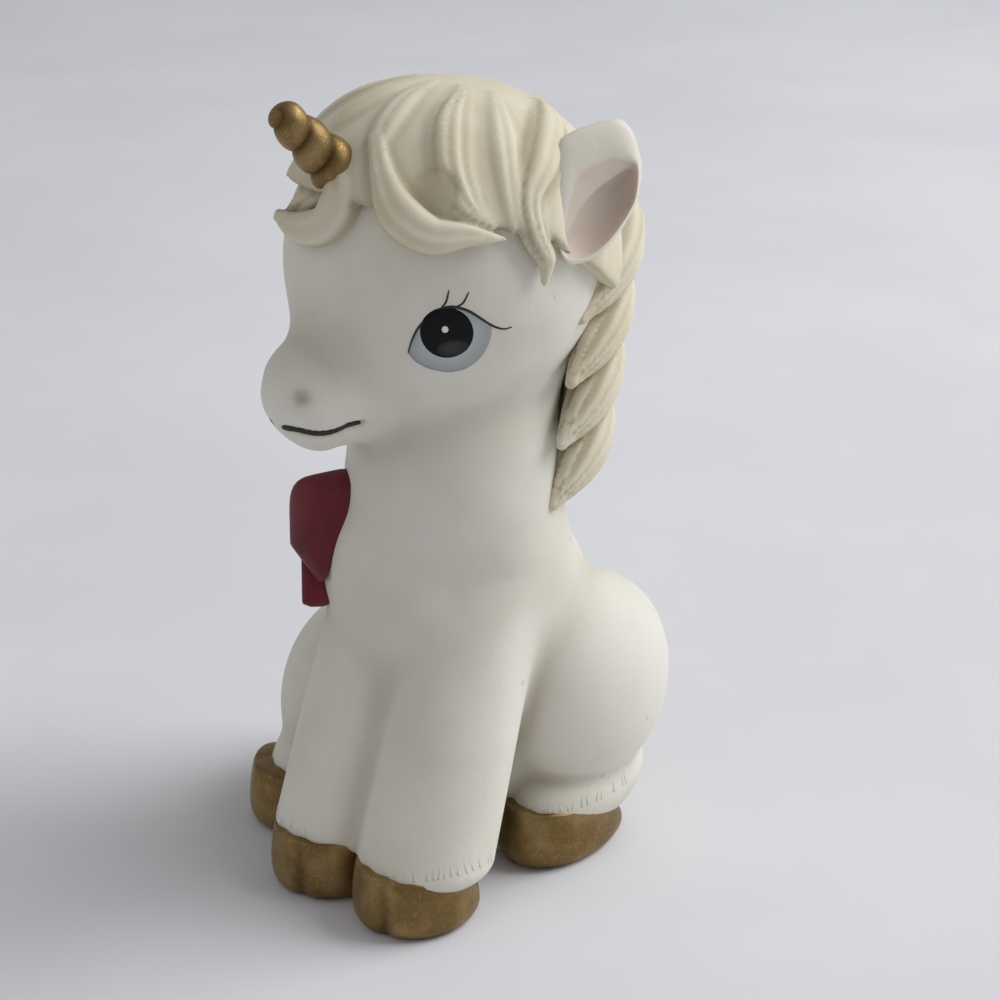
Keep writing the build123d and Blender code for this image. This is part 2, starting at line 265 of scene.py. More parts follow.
def smooth(values, count):
    """A curve through rows of values: Catmull-Rom, evaluated at evenly spaced steps."""
    v = np.asarray(values, float)
    v = np.concatenate([2 * v[:1] - v[1:2], v, 2 * v[-1:] - v[-2:-1]])
    t = np.linspace(0, len(v) - 3 - 1e-6, count)
    i = t.astype(int)
    f = (t - i)[:, None]
    a, b, c, d = v[i], v[i + 1], v[i + 2], v[i + 3]
    return 0.5 * (2 * b + (c - a) * f + (2 * a - 5 * b + 4 * c - d) * f**2 + (3 * b - a - 3 * c + d) * f**3)


# %% Mouth and nostrils cut in the clay
MOUTH = [(285, 429), (300, 432), (318, 435), (334, 433), (348, 427), (361, 424)]
NOSTRIL = [(301, 400)]
MOUTH_R, NOSTRIL_R = 0.5, 1.1
mouth = meet(smooth(MOUTH, 40), field=plain)
mouth = np.concatenate([mouth, mirrored(mouth)])
nostrils = meet(NOSTRIL, field=plain)
nostrils = np.concatenate([nostrils, mirrored(nostrils)])


def bisque(p):
    """The white body with the groove of the mouth and two dimples for nostrils."""
    f = plain(p)
    near = (np.abs(f) < 3) & (np.linalg.norm(p - mouth.mean(0), axis=1) < 22)
    q = p[near]
    groove = np.linalg.norm(q[:, None] - mouth[None], axis=2).min(1) - MOUTH_R
    dimple = np.linalg.norm(q[:, None] - nostrils[None] - [0, 0, 0.3], axis=2).min(1) - NOSTRIL_R
    f[near] = carve(carve(f[near], groove, 0.15), dimple + 0.35, 0.35)
    return f


print("mouth from", mouth[0].round(1), "to", mouth[39].round(1))

# %% [markdown]
# ## Turning the field into a mesh
#
# Metaballs would give the same kind of form, but not the carved lines, and they can't be measured. Here the field
# is sampled on a grid, each cell that the surface crosses gets one vertex at the mean of its edge crossings, and
# each grid edge that crosses the surface gives one face between its four cells. The vertices are then settled
# onto the true surface.

# %% Meshes from arrays
FLOAT, INT = np.float32, np.int32


def volume(points, quads):
    """The signed volume inside a mesh of quads; a quad with its last corner repeated is a triangle."""
    a, b, c, d = [points[quads[:, i]] for i in range(4)]
    return (np.einsum("ij,ij->i", a, np.cross(b, c)) + np.einsum("ij,ij->i", a, np.cross(c, d))).sum() / 6


def add_piece(name, points, quads, material, slot, replaced=(), **attributes):
    """Writes a closed mesh in metres, with its faces outwards, and rides it on the only body."""
    if volume(points, quads) < 0:
        quads = quads[:, ::-1]
    mesh = bpy.data.meshes.new(name)
    triangle = quads[:, 2] == quads[:, 3]
    triangle |= quads[:, 0] == quads[:, 1]
    sizes = np.where(triangle, 3, 4).astype(INT)
    corners = np.where((quads[:, 0] == quads[:, 1])[:, None], np.roll(quads, -1, 1), quads)
    keep = np.ones(corners.shape, bool)
    keep[triangle, 3] = False
    mesh.vertices.add(len(points))
    mesh.vertices.foreach_set("co", (points * MM).astype(FLOAT).ravel())
    mesh.loops.add(int(sizes.sum()))
    mesh.loops.foreach_set("vertex_index", corners[keep].astype(INT))
    mesh.polygons.add(len(quads))
    mesh.polygons.foreach_set("loop_start", np.concatenate([[0], np.cumsum(sizes)[:-1]]).astype(INT))
    mesh.polygons.foreach_set("loop_total", sizes)
    mesh.polygons.foreach_set("use_smooth", np.ones(len(quads), bool))
    for key, values in attributes.items():
        mesh.attributes.new(key, "FLOAT", "POINT").data.foreach_set("value", np.asarray(values, FLOAT))
    mesh.update(calc_edges=True)
    mesh.validate()
    mesh.materials.append(material)
    piece = bpy.data.objects.new(name, mesh)
    bpy.context.scene.collection.objects.link(piece)
    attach(piece, "root")
    if replaced:
        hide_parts(*replaced)
    print(name, len(points), "points,", round(abs(volume(points, quads))), "mm3")
    return piece


def ring_faces(rings, around):
    """Quads of a stack of closed rings, with a fan to a middle point at each end."""
    grid = np.arange(rings * around).reshape(rings, around)
    turn = np.roll(grid, -1, 1)
    sides = np.stack([grid[:-1], turn[:-1], turn[1:], grid[1:]], -1).reshape(-1, 4)
    low, high = np.full(around, rings * around), np.full(around, rings * around + 1)
    first = np.stack([turn[0], grid[0], low, low], -1)
    last = np.stack([grid[-1], turn[-1], high, high], -1)
    return np.concatenate([sides, first, last])


def add_rings(name, rings, material, slot, replaced=(), **attributes):
    """A closed piece from an array of rings: rings[i, j] is point j of ring i."""
    count, around, _ = rings.shape
    ends = np.stack([rings[0].mean(0), rings[-1].mean(0)])
    points = np.concatenate([rings.reshape(-1, 3), ends])
    full = {k: np.concatenate([v.ravel(), [v[0].mean(), v[-1].mean()]]) for k, v in attributes.items()}
    return add_piece(name, points, ring_faces(count, around), material, slot, replaced, **full)


def add_bundle(name, bundle, material, slot, replaced=(), **attributes):
    """Several stacks of rings of the same size as one piece: bundle[n, i, j] is point j of ring i of stack n."""
    stacks, count, around, _ = bundle.shape
    ends = np.stack([bundle[:, 0].mean(1), bundle[:, -1].mean(1)], 1)
    points = np.concatenate([bundle.reshape(stacks, -1, 3), ends], 1)
    quads = ring_faces(count, around)[None] + (np.arange(stacks) * points.shape[1])[:, None, None]
    full = {k: np.concatenate([v.reshape(stacks, -1), v[:, [0, -1], 0]], 1).ravel() for k, v in attributes.items()}
    return add_piece(name, points.reshape(-1, 3), quads.reshape(-1, 4), material, slot, replaced, **full)


# %% Surface net
def surface_net(field, low, high, step):
    """Points and quads of the field's zero surface: one point for each crossed cell of a grid."""
    axes = [np.arange(a, b + step, step) for a, b in zip(low, high)]
    shape = tuple(len(a) for a in axes)
    levels = [np.stack(np.meshgrid(axes[0], axes[1], [z], indexing="ij"), -1).reshape(-1, 3) for z in axes[2]]
    values = np.stack([field(level).reshape(shape[:2]) for level in levels], -1)
    corner = [(i, j, k) for i in (0, 1) for j in (0, 1) for k in (0, 1)]
    n = np.array(shape) - 1

    def at(c):
        return values[c[0]: c[0] + n[0], c[1]: c[1] + n[1], c[2]: c[2] + n[2]]

    inside = sum((at(c) < 0).astype(int) for c in corner)
    mixed = (inside > 0) & (inside < 8)
    cells = np.argwhere(mixed)
    total, hits = np.zeros((len(cells), 3)), np.zeros(len(cells))
    for a in corner:
        for axis in range(3):
            if a[axis]:
                continue
            b = tuple(v + (i == axis) for i, v in enumerate(a))
            va, vb = at(a)[mixed], at(b)[mixed]
            cross = (va < 0) != (vb < 0)
            t = np.where(cross, va / np.where(cross, va - vb, 1), 0)
            place = np.tile(np.array(a, float), (len(cells), 1))
            place[:, axis] += t
            total += place * cross[:, None]
            hits += cross
    points = (cells + total / hits[:, None]) * step + np.array([a[0] for a in axes])
    number = np.full(tuple(n), -1)
    number[mixed] = np.arange(len(cells))
    quads = []
    for axis in range(3):
        v, w = np.moveaxis(values, axis, 0), np.moveaxis(number, axis, 0)
        start, end = v[:-1, 1:-1, 1:-1] < 0, v[1:, 1:-1, 1:-1] < 0
        four = np.stack([w[:, :-1, :-1], w[:, 1:, :-1], w[:, 1:, 1:], w[:, :-1, 1:]], -1)
        out = start & ~end
        back = ~start & end
        flip = 1 if axis != 1 else -1
        quads += [four[out][:, ::flip], four[back][:, ::-flip]]
    return points, np.concatenate(quads)


# %% [markdown]
# ## Finishes
#
# A finish is a small graph of shader nodes. Writing it as arithmetic on sockets is easier to read than wiring
# nodes by hand, so one small class wraps a socket and adds a Math node for each operator.

# %% Shader arithmetic
class Value:
    """A socket that adds, multiplies and subtracts by making Math nodes."""

    def __init__(self, paint, socket):
        self.paint, self.socket = paint, socket

    def math(self, operation, a, b):
        return self.paint.node("ShaderNodeMath", {"operation": operation}, {0: a, 1: b})

    def __add__(self, other):
        return self.math("ADD", self, other)

    def __sub__(self, other):
        return self.math("SUBTRACT", self, other)

    def __rsub__(self, other):
        return self.math("SUBTRACT", other, self)

    def __mul__(self, other):
        return self.math("MULTIPLY", self, other)

    def __pow__(self, other):
        return self.math("POWER", self, other)

    __radd__, __rmul__ = __add__, __mul__


class Paint:
    """A material with one Principled shader, and a method that adds any other node."""

    def __init__(self, name, **constants):
        self.material = bpy.data.materials.new(name)
        self.material.use_nodes = True
        self.tree = self.material.node_tree
        self.shader = self.tree.nodes["Principled BSDF"]
        self.coords = self.node("ShaderNodeTexCoord", {}, {}, "Object")
        for key, value in constants.items():
            self.shader.inputs[key.replace("_", " ").title().replace("Ior", "IOR")].default_value = value

    def put(self, socket, value):
        if isinstance(value, Value):
            self.tree.links.new(value.socket, socket)
        else:
            socket.default_value = value

    def node(self, kind, settings, inputs, output=0):
        made = self.tree.nodes.new(kind)
        for key, value in settings.items():
            setattr(made, key, value)
        for key, value in inputs.items():
            self.put(made.inputs[key], value)
        return Value(self, made.outputs[output])

    def noise(self, scale, detail=3.0, rough=0.55):
        inputs = {"Vector": self.coords, "Scale": scale, "Detail": detail, "Roughness": rough}
        return self.node("ShaderNodeTexNoise", {}, inputs, "Fac")

    def attribute(self, name):
        return self.node("ShaderNodeAttribute", {"attribute_name": name}, {}, "Fac")

    def band(self, value, low, high):
        settings = {"interpolation_type": "SMOOTHSTEP"}
        return self.node("ShaderNodeMapRange", settings, {"Value": value, "From Min": low, "From Max": high})

    def mix(self, factor, a, b):
        settings = {"data_type": "RGBA"}
        return self.node("ShaderNodeMix", settings, {"Factor": factor, 6: a, 7: b}, 2)

    def colour(self, value):
        self.put(self.shader.inputs["Base Color"], value)

    def rough(self, value):
        self.put(self.shader.inputs["Roughness"], value)

    def bump(self, height, strength, distance):
        inputs = {"Height": height, "Strength": strength, "Distance": distance}
        self.put(self.shader.inputs["Normal"], self.node("ShaderNodeBump", {}, inputs, "Normal"))


def rgb(r, g, b):
    """A colour written in the eight-bit numbers of a picture, as linear light."""
    c = np.array([r, g, b]) / 255
    return (*np.where(c <= 0.04045, c / 12.92, ((c + 0.055) / 1.055) ** 2.4), 1.0)


# %% Bisque, washed hair, gilding, ribbon red and enamel
def bisque_paint():
    """Matte warm white clay: faint clouds of warm grey, painted shade that darkens the creases, a fine tooth."""
    paint = Paint("bisque_clay", roughness=0.62, specular_ior_level=0.35, subsurface_weight=0.12)
    paint.shader.inputs["Subsurface Radius"].default_value = (1.0, 0.75, 0.55)
    paint.shader.inputs["Subsurface Scale"].default_value = 0.0025
    clouds = paint.band(paint.noise(55, 4), 0.38, 0.66)
    base = paint.mix(clouds, rgb(228, 225, 214), rgb(219, 215, 201))
    # Painted shade: the clay is darkened towards a grey-brown in the creases where forms meet.
    crease = paint.attribute("crease") * 0.55
    base = paint.mix(crease, base, rgb(172, 160, 138))
    blush = paint.attribute("blush")
    base = paint.mix(blush, base, rgb(196, 160, 142))
    specks = paint.band(paint.noise(420, 1, 0.2), 0.80, 0.83) * 0.5
    paint.colour(paint.mix(specks, base, rgb(170, 140, 100)))
    paint.bump(paint.noise(900, 4, 0.65), 0.12, 0.0004)
    return paint.material


def hair_paint():
    """The same clay under a cream wash, darker in the grooves between strands: partly wash that pools there, partly
    painted shade.
    """
    paint = Paint("washed_hair", roughness=0.58, specular_ior_level=0.38, subsurface_weight=0.10)
    paint.shader.inputs["Subsurface Radius"].default_value = (1.0, 0.75, 0.55)
    paint.shader.inputs["Subsurface Scale"].default_value = 0.002
    wash = paint.band(paint.noise(80, 4), 0.30, 0.70) * 0.45 + 0.25
    base = paint.mix(wash, rgb(228, 223, 206), rgb(206, 193, 160))
    # Darker in the grooves between strands: partly the wash pooling there, partly painted shade.
    groove = paint.attribute("groove")
    paint.colour(paint.mix(groove * 0.75, base, rgb(150, 134, 100)))
    paint.bump(paint.noise(900, 4, 0.65), 0.10, 0.0004)
    return paint.material


def gilding_paint():
    """Fired gold: tiny bright flakes over a browner ground, with painted shade darker in the hollows."""
    paint = Paint("gilding", metallic=0.9, specular_ior_level=0.5)
    flakes = paint.noise(4200, 2, 0.7)
    clouds = paint.band(paint.noise(160, 4), 0.35, 0.65)
    base = paint.mix(clouds, rgb(160, 134, 90), rgb(126, 102, 62))
    base = paint.mix(paint.band(flakes, 0.55, 0.75) * 0.45, base, rgb(206, 180, 128))
    # Painted shade: the gold is darkened in the hoof's cleft and along the horn's groove.
    groove = paint.attribute("groove")
    paint.colour(paint.mix(groove * 0.85, base, rgb(70, 48, 22)))
    paint.rough(paint.band(flakes, 0.30, 0.75) * -0.22 + 0.56)
    paint.bump(flakes, 0.22, 0.0003)
    return paint.material


def ribbon_paint():
    """Thin maroon paint with soft brush marks, and painted shade where the loops pinch into the knot."""
    paint = Paint("ribbon_red", roughness=0.55, specular_ior_level=0.4)
    marks = paint.band(paint.noise(130, 5, 0.6), 0.35, 0.70)
    base = paint.mix(marks, rgb(112, 26, 38), rgb(86, 16, 26))
    # Painted shade: the red is darkened where each loop is drawn into the knot.
    paint.colour(paint.mix(paint.attribute("groove") * 0.6, base, rgb(52, 8, 14)))
    paint.bump(paint.noise(700, 3), 0.12, 0.0003)
    return paint.material


def enamel_paint(name, inner, outer, rough, shine=0.5):
    """A thin painted layer that runs from one colour at its middle to another at its edge."""
    paint = Paint(name, roughness=rough, specular_ior_level=shine)
    tone = paint.noise(300, 3) * 0.25
    paint.colour(paint.mix(paint.attribute("edge") + tone - 0.12, inner, outer))
    paint.bump(paint.noise(900, 2), 0.05, 0.0002)
    return paint.material


BISQUE, HAIR, GOLD, RED = bisque_paint(), hair_paint(), gilding_paint(), ribbon_paint()
EYE_WHITE = enamel_paint("eye_white", rgb(188, 192, 192), rgb(150, 155, 156), 0.45)
EYE_BLACK = enamel_paint("eye_black", rgb(9, 9, 10), rgb(6, 6, 7), 0.30, 0.15)
# Painted light on the eyes: a white highlight dot and a grey reflection low in the pupil.
EYE_SHINE = enamel_paint("eye_shine", rgb(232, 236, 238), rgb(200, 206, 210), 0.30)
EYE_PAINTED_REFLECTION = enamel_paint("eye_painted_reflection", rgb(52, 54, 56), rgb(18, 19, 20), 0.35, 0.2)
LINE_BLACK = enamel_paint("line_black", rgb(24, 20, 18), rgb(34, 28, 24), 0.50)

# %% [markdown]
# ## The bisque castings
#
# Body, head, legs, haunches and feet come out of the field as one closed skin, because on the real figure the
# joins between the castings are sponged away before firing. A per-point value marks where two forms meet, and the
# clay is darkened there as painted shade.

# %% Bisque skin
GRID = 0.62
low, high = np.array(cad_box) / MM
points, quads = surface_net(bisque, low - 2, high + 2, GRID)
points, normals = settle(bisque, points, 2)
points[:, 2] = np.maximum(points[:, 2], 0)
bend = (bisque(points + 1.5 * normals) - 1.5).clip(-1, 1)
# How deep each point lies in a crease, used as painted shade in the clay's colour.
crease = (-bend * 1.6).clip(0, 1)
blush = sum(np.exp(-((points - s) ** 2).sum(1) / 1.9**2) for s in nostrils) * 0.16
CASTINGS = ["body_casting", "head_casting"]
CASTINGS += [f"{side}_{piece}" for side in ("left", "right") for piece in ("foreleg", "haunch", "hind_foot")]
add_piece("bisque_castings", points, quads, BISQUE, "bisque", CASTINGS, crease=crease, blush=blush)

# %% [markdown]
# ## Hooves
#
# Each gilded hoof is a stack of oval rings: a rounded sole, a wall that bulges, and a top edge that runs up and
# down a little where the brush followed the fur. The fore hooves have the shallow cleft of the real one at the toe.


# %% Gilded hooves
def hoof_rings(at, rx, ry, height, cleft, fall, toe=-np.pi / 2, around=144):
    """Rings r(a, z) = oval(a) * profile(z), less a notch at the toe; the top edge falls towards the heel."""
    a = np.linspace(0, TAU, around, endpoint=False)
    rise = np.array([0, 0.01, 0.04, 0.10, 0.19, 0.31, 0.46, 0.62, 0.78, 0.90, 0.97, 1.0, 1.01, 1.0])
    swell = np.array([0.74, 0.81, 0.88, 0.94, 0.98, 1.0, 1.0, 0.99, 0.97, 0.95, 0.935, 0.92, 0.88, 0.6])
    away = np.abs(np.angle(np.exp(1j * (a - toe))))
    notch = np.exp(-((away / 0.14) ** 2))
    lip = 0.22 * np.sin(3 * a + 1.0) + 0.10 * np.sin(11 * a)
    slope_down = np.clip((away - 1.3) / 1.2, 0, 1)
    top = (height + lip) * (1 - fall * slope_down**2 * (3 - 2 * slope_down))
    cut = cleft * notch[None] * (1 - 0.8 * rise[:, None] ** 2)
    r = swell[:, None] * (1 - cut)
    x = at[0] + rx * r * np.cos(a)[None]
    y = at[1] + ry * r * np.sin(a)[None]
    # The second array is painted shade: it darkens the gold in the cleft at the toe.
    return np.stack([x, y, top[None] * rise[:, None]], -1), notch[None] ** 2 * (cleft > 0) * (1 - rise[:, None] * 0.6) * 0.6


for side, s in (("left", 1), ("right", -1)):
    rings, groove = hoof_rings(FORE[s], 8.0, 8.7, 8.2, 0.07, 0.5)
    add_rings(f"{side}_fore_hoof_gilded", rings, GOLD, "gilding", [f"{side}_fore_hoof"], groove=groove)
    rings, groove = hoof_rings(HIND[s], 7.4, 11.6, 8.4, 0.0, 0.7)
    add_rings(f"{side}_hind_hoof_gilded", rings, GOLD, "gilding", [f"{side}_hind_hoof"], groove=groove)

# %% [markdown]
# Above the gold the modeller has drawn short strokes of fur with a needle. Each is a hair-thin ridge that starts at
# the edge of the gold and runs up the leg.


# %% Strokes of fur
def stroke_rings(at, rx, ry, rng, count=18, steps=10, around=8):
    """Short tapering tubes on the clay around a foot, each with its own lean and length."""
    a = -np.pi / 2 + np.sign(at[0]) * np.linspace(-0.1, 1.9, count) + rng.uniform(-0.06, 0.06, count)
    t = np.linspace(0, 1, steps)[:, None]
    a = a + rng.uniform(-0.04, 0.04, count) * t
    z = 8.6 + rng.uniform(0.8, 1.8, count) * t
    p = np.stack([at[0] + rx * np.cos(a), at[1] + ry * np.sin(a), z], -1)
    p, n = settle(bisque, p.reshape(-1, 3), 4)
    p, n = p.reshape(steps, count, 3), n.reshape(steps, count, 3)
    w, h = 0.20 * (1 - t[:, 0]) + 0.03, 0.05 * (1 - t[:, 0]) + 0.02
    made = [lock_rings(p[:, i], n[:, i], w, h, strands=1, depth=0, around=around)[0] for i in range(count)]
    return np.stack(made)


# %% [markdown]
# ## Locks of hair
#
# The hair is modelled in the same clay, so it is a field too. A lock is an oval carried along a path: the path is a
# smooth curve through a few pixels of the photograph, met with the head at a small lift. Locks and the cap over the
# skull run together softly, and fine grooves along each lock stand for its strands. The far side of the head isn't
# in the photograph, so the field is the same on both sides of the head's own frame, but for the forelock.

# %% Ridged locks
def lock_rings(path, normals, width, thick, strands=5, depth=0.12, twist=0.0, around=56):
    """Rings about a path: half width across, half thickness outwards, and cosine ridges that wind by twist."""
    count = len(path)
    t = np.linspace(0, 1, count)
    along = np.gradient(path, axis=0)
    along /= np.linalg.norm(along, axis=1, keepdims=True)
    out = normals - (normals * along).sum(1, keepdims=True) * along
    out /= np.linalg.norm(out, axis=1, keepdims=True)
    across = np.cross(along, out)
    s = np.linspace(0, TAU, around, endpoint=False)
    ridge = np.cos(strands * 2 * (s[None] + twist * t[:, None]))
    r = 1 + depth * (ridge - 1) * np.minimum(1, 4 * t * (1 - t) + 0.25)[:, None]
    a = (width[:, None] * r * np.cos(s))[..., None] * across[:, None]
    b = (thick[:, None] * r * np.sin(s))[..., None] * out[:, None]
    return path[:, None] + a + b, (0.5 - 0.5 * ridge) ** 2


def taper(count, start, full, end, peak=0.35):
    """A size along a lock: start, then full at the peak, then end, joined smoothly."""
    t = np.linspace(0, 1, count)
    up = np.sin(np.clip(t / peak, 0, 1) * np.pi / 2)
    down = np.cos(np.clip((t - peak) / (1 - peak), 0, 1) * np.pi / 2)
    return np.where(t < peak, start + (full - start) * up, end + (full - end) * down)


# %% Fur above the hooves
rng = np.random.default_rng(7)
for side, s in (("left", 1), ("right", -1)):
    for foot, at, rx, ry in (("fore", FORE[s], 7.4, 7.8), ("hind", HIND[s], 7.4, 11.6)):
        bundle = stroke_rings(at, rx, ry, rng)
        shade = np.full(bundle.shape[:3], 0.12)
        add_bundle(f"{side}_{foot}_fur", bundle, BISQUE, "bisque", crease=shade, blush=0 * shade)


# %% The field of a lock
PX = 7.9


def lock_shape(path, out, wide, thick, strands, twist=0.0):
    """What the field of a lock needs: its path, its frame along the path and its half sizes."""
    along = np.gradient(path, axis=0)
    along /= np.linalg.norm(along, axis=1, keepdims=True)
    out = out - (out * along).sum(1, keepdims=True) * along
    out /= np.linalg.norm(out, axis=1, keepdims=True)
    phase = twist * np.linspace(0, 1, len(path))
    return {"path": path, "along": along, "out": out, "across": np.cross(along, out), "wide": wide, "thick": thick,
            "strands": strands, "phase": phase}


def photo_lock(pixels, half_px, lift, strands=3, flat=0.55, steps=64):
    """A lock through pixels of the photograph, half_px wide at each, in the head's frame."""
    path = meet(smooth(pixels, steps), lift, plain)
    n = slope(plain, path)
    wide = smooth(np.array(half_px, float)[:, None], steps)[:, 0] / PX
    return lock_shape(to_head(path), n @ TURN, wide, flat * wide + 0.35, strands)


def lock_field(q, lock):
    """The distance from an oval swept along the path, with soft grooves at the crests of a cosine across it."""
    path, wide = lock["path"], lock["wide"]
    f = np.full(len(q), 9.0)
    low, high = path.min(0) - wide.max() - 2, path.max(0) + wide.max() + 2
    near = ((q > low) & (q < high)).all(1)
    v = q[near][:, None] - path[None]
    i = (v * v).sum(2).argmin(1)
    v = v[np.arange(len(i)), i]
    step = np.linalg.norm(np.diff(path, axis=0), axis=1).mean()
    ahead = (v * lock["along"][i]).sum(1)
    t = np.clip(i + ahead / step, 0, len(path) - 1)
    past = (i + ahead / step - t) * step

    def at(key):
        return np.interp(t, np.arange(len(path)), lock[key])

    w, h = at("wide"), at("thick")
    up, side = (v * lock["out"][i]).sum(1), (v * lock["across"][i]).sum(1)
    d = (np.sqrt((side**2 + past**2) / w**2 + up**2 / h**2) - 1) * h
    groove = (0.5 + 0.5 * np.cos(np.pi * (lock["strands"] * side / w + 2 * at("phase")))) ** 2
    f[near] = d + 0.24 * groove * np.minimum(1, w / 1.8)
    return f


def round_min(a, b, k):
    """A union with a rounded inner corner about k deep."""
    h = np.maximum(k - np.abs(a - b), 0) / k
    return np.minimum(a, b) - h * h * k / 4


# %% Where the ears stand
EAR_RIM = [(560, 140), (575, 131), (592, 125), (610, 120), (622, 121), (633, 134), (641, 163), (640, 186), (634, 208)]
EAR_RIM += [(618, 234), (600, 254), (584, 262), (566, 262), (556, 238), (552, 200), (554, 162)]
EAR_CUP = [(562, 247), (570, 227), (580, 207), (594, 189), (616, 174), (630, 168), (635, 172), (634, 196), (627, 212)]
EAR_CUP += [(612, 234), (596, 250), (582, 257), (568, 256)]
EAR_HUB, EAR_ROOT = np.array([600.0, 214.0]), (566, 255)
EAR_SWEEP, EAR_STAND, EAR_BACK = 0.30, 1.8, 5.0
EAR_DEPTH = (EYE - meet([EAR_ROOT])[0]) @ BACK


def outline(pixels, hub, angles):
    """The distance of an outline from its hub in each direction, in pixels."""
    v = smooth(list(pixels) + [pixels[0]], 240)[:-1] - hub
    return np.interp(angles, np.arctan2(v[:, 1], v[:, 0]), np.hypot(v[:, 0], v[:, 1]), period=TAU)


def ear_plane(px):
    """How far along the view the plane of the ear lies at each pixel; it slants away to the right."""
    return EAR_DEPTH - EAR_STAND + EAR_SWEEP * (px[..., 0] - EAR_ROOT[0]) / PX


def ear_point(px, depth):
    """Points on the rays of pixels, at a depth behind the plane of the ear."""
    d = rays(px.reshape(-1, 2)).reshape(*px.shape[:-1], 3)
    return EYE + d * ((ear_plane(px) + depth) / -(d @ BACK))[..., None]


def ear_room(p):
    """About the distance from the room that the ear needs: within its rim, and nearer than its back."""
    far = (EYE - p) @ BACK
    px = np.stack([(p - EYE) @ RIGHT, (EYE - p) @ UP], -1) * (FOCAL_PX / far)[:, None] + FRAME_PX / 2
    away = px - EAR_HUB
    rim = outline(EAR_RIM, EAR_HUB, np.arctan2(away[:, 1], away[:, 0]))
    return np.maximum((np.hypot(away[:, 0], away[:, 1]) - rim) / PX + 1.4, far - ear_plane(px) - EAR_BACK)


# %% Locks read off the photograph
FRINGE = photo_lock([(377, 140), (384, 178), (399, 214), (430, 236), (465, 236), (504, 239)],
                    [10, 15, 23, 21, 14, 2], 1.8, 2)
BROW = photo_lock([(462, 94), (449, 128), (450, 172), (465, 206), (492, 228)], [9, 20, 20, 15, 3], 1.4, 3)
TEMPLE = photo_lock([(534, 98), (546, 126), (540, 165), (528, 200), (534, 234), (546, 260), (544, 284)],
                    [4, 22, 24, 17, 14, 10, 2], 1.4, 3)
CREST = photo_lock([(436, 86), (410, 102), (390, 126), (379, 150)], [5, 15, 17, 12], 1.4, 2)
SWEEP = photo_lock([(494, 100), (500, 136), (505, 175), (510, 212), (512, 232)], [7, 16, 15, 10, 2], 1.4, 2)
FORELOCK = photo_lock([(338, 170), (341, 198), (327, 224), (301, 228), (280, 216)], [12, 23, 22, 18, 7], 1.0, 2)
CURL = photo_lock([(346, 156), (326, 172), (307, 190), (290, 212)], [10, 14, 13, 8], 0.1, 2, 0.2)
UNDER = photo_lock([(338, 172), (318, 192), (298, 212)], [16, 20, 13], 0.0, 2, 0.12)
HOLLOW = to_head(meet([(430, 192)], 3.4))[0]


def cap_field(q):
    """The skull grown by the hair's lift, with shallow strands, above a hairline that falls to the back."""
    a = np.arctan2(q[:, 0], -q[:, 1])
    down = np.arccos(np.clip((q[:, 2] - 82) / np.linalg.norm(q - SKULL_AT, axis=1), -1, 1))
    swirl = a + 0.18 * np.sin(2.2 * down + 2 * a) + 0.05 * np.sin(9 * a + 4 * down)
    ridge = np.cos(15 * swirl) + 0.6 * np.cos(29 * swirl + 1.7)
    grown = ellipsoid(q, SKULL_AT, SKULL_R + 2.1) - 0.08 * ridge * np.clip(down - 0.45, 0, 1)
    hem = q[:, 2] - (92.7 - 0.22 * (q[:, 1] + 19) - 0.5 * np.maximum(q[:, 1], 0))
    return -soft_min([-grown, hem], 0.5)


def hair(p):
    """Cap and locks together, as a shell on the head, with room for the ears and locks that lap over them."""
    q = to_head(p)
    both = np.abs(q) * [1, 0, 0] + q * [0, 1, 1]
    f = cap_field(both)
    for lock in (CREST, SWEEP, BROW):
        f = round_min(f, lock_field(both, lock), 0.7)
    f = carve(f, np.linalg.norm(both - HOLLOW, axis=1) - 3.0, 0.4)
    f = carve(f, ear_room(from_head(both)), 0.25)
    far = 1.7 * np.clip(-q[:, 0] / 4, 0, 1)
    for lock in (FRINGE, TEMPLE):
        f = round_min(f, lock_field(both, lock) + far, 0.4)
    for lock in (UNDER, CURL, FORELOCK):
        f = round_min(f, lock_field(q, lock), 0.4)
    return np.maximum(f, -plain(p) - 0.8)


# %% Hair on the head
HAIR_GRID = 0.44
head_low, head_high = np.array([-26.0, -36.0, 70.0]), np.array([26.0, 20.0, 107.0])


def add_field(name, field, low, high, step, material, slot, replaced, key, gain):
    """Meshes a field and marks its hollows with an attribute."""
    points, quads = surface_net(field, low, high, step)
    points, normals = settle(field, points, 2)
    bend = field(points + 0.8 * normals) - 0.8
    return add_piece(name, points, quads, material, slot, replaced, **{key: np.clip(-bend * gain, 0, 1)})


HEAD_HAIR = ["crown_hair", "forelock"]
HEAD_HAIR += [f"{side}_{piece}" for side in ("left", "right") for piece in ("fringe_lock", "temple_lock")]
add_field("hair", hair, head_low, head_high, HAIR_GRID, HAIR, "tinted_bisque", HEAD_HAIR, "groove", 2.2)

# %% Mane
MANE_COUNT, MANE_TOP, MANE_PITCH, MANE_FALL = 4, 91.6, 8.4, 16.0
MANE_FROM, MANE_TO = np.radians([205.0, 115.0])


